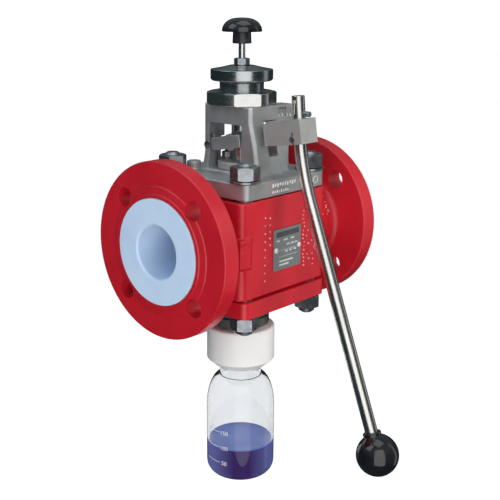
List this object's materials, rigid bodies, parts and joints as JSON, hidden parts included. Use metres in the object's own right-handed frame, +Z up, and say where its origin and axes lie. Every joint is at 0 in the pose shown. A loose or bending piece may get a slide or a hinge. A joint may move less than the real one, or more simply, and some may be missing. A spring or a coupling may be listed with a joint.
{
  "type": "plug valve",
  "caption": "Flanged, lined sampling valve with a lifting plug, spring-closing hand lever on a yoke, and a glass sample bottle screwed under its outlet.",
  "frame": {"origin": "where the pipe axis crosses the stem axis", "axes": "+X along the pipe towards the outlet flange, +Z up the stem towards the knob, the hand lever hangs on the -Y side"},
  "size_m": [0.23, 0.2735, 0.4647],
  "materials": {
    "red_paint": "semi-gloss signal red paint on a casting",
    "cast_steel": "blasted and machined stainless casting",
    "bright_steel": "turned or polished stainless steel",
    "liner_plastic": "bluish white moulded fluoroplastic",
    "white_plastic": "machined white fluoroplastic",
    "black_plastic": "high-gloss black phenolic",
    "packing": "dull braided packing",
    "plate_metal": "satin blank plate",
    "glass": "clear laboratory glass",
    "sample": "violet-blue liquid"
  },
  "bodies": {
    "root": {"body_casting": "red_paint", "body_liner": "liner_plastic", "seat_ring": "white_plastic", "cover_gasket": "white_plastic", "bonnet_gasket": "white_plastic", "packing_ring_1": "packing", "packing_ring_2": "packing", "packing_ring_3": "packing", "bottom_cover": "red_paint", "bonnet": "cast_steel", "gland_follower": "bright_steel", "gland_bolt_1": "bright_steel", "gland_bolt_2": "bright_steel", "gland_nut_1": "bright_steel", "gland_nut_2": "bright_steel", "spring_cap": "bright_steel", "lock_nut": "cast_steel", "rod_bush": "white_plastic", "spring": "bright_steel", "pivot_pin": "bright_steel", "name_plate": "plate_metal", "rivet_1": "bright_steel", "rivet_2": "bright_steel", "outlet_spout": "bright_steel", "bottle_adapter": "white_plastic", "bottle_seal": "white_plastic", "stud_1": "bright_steel", "stud_2": "bright_steel", "stud_3": "bright_steel", "stud_4": "bright_steel", "washer_1": "bright_steel", "washer_2": "bright_steel", "washer_3": "bright_steel", "washer_4": "bright_steel", "top_nut_1": "bright_steel", "top_nut_2": "bright_steel", "top_nut_3": "bright_steel", "top_nut_4": "bright_steel", "bottom_nut_1": "bright_steel", "bottom_nut_2": "bright_steel", "bottom_nut_3": "bright_steel", "bottom_nut_4": "bright_steel"},
    "stem_body": {"stem": "bright_steel", "plug_head": "liner_plastic", "stem_collar": "bright_steel", "spring_plate": "bright_steel", "lift_rod": "bright_steel", "stop_nut": "bright_steel", "mushroom_knob": "black_plastic"},
    "lever_body": {"rocker": "cast_steel", "lever_rod": "bright_steel", "ball_knob": "black_plastic", "cross_pin": "bright_steel", "set_screw": "bright_steel"},
    "bottle_body": {"bottle": "glass", "liquid": "sample"}
  },
  "joints": [
    {"name": "lever", "type": "hinge", "parent": "root", "child": "lever_body", "pos_m": [0, 0.0265, 0.0846], "axis": [-1, 0, 0], "range_deg": [0, 11]},
    {"name": "stem", "type": "slide", "parent": "root", "child": "stem_body", "axis": [0, 0, 1], "range_m": [0, 0.0056], "stiffness_N_per_m": 6000, "springref_m": -0.006, "deforming": ["spring"]},
    {"name": "bottle_turn", "type": "hinge", "parent": "root", "child": "bottle_body", "pos_m": [0, 0, -0.124], "axis": [0, 0, -1], "range_deg": [0, 450]}
  ],
  "couplings": [
    {"joint": "stem", "follows": "lever", "m_per_rad": 0.0288}
  ]
}
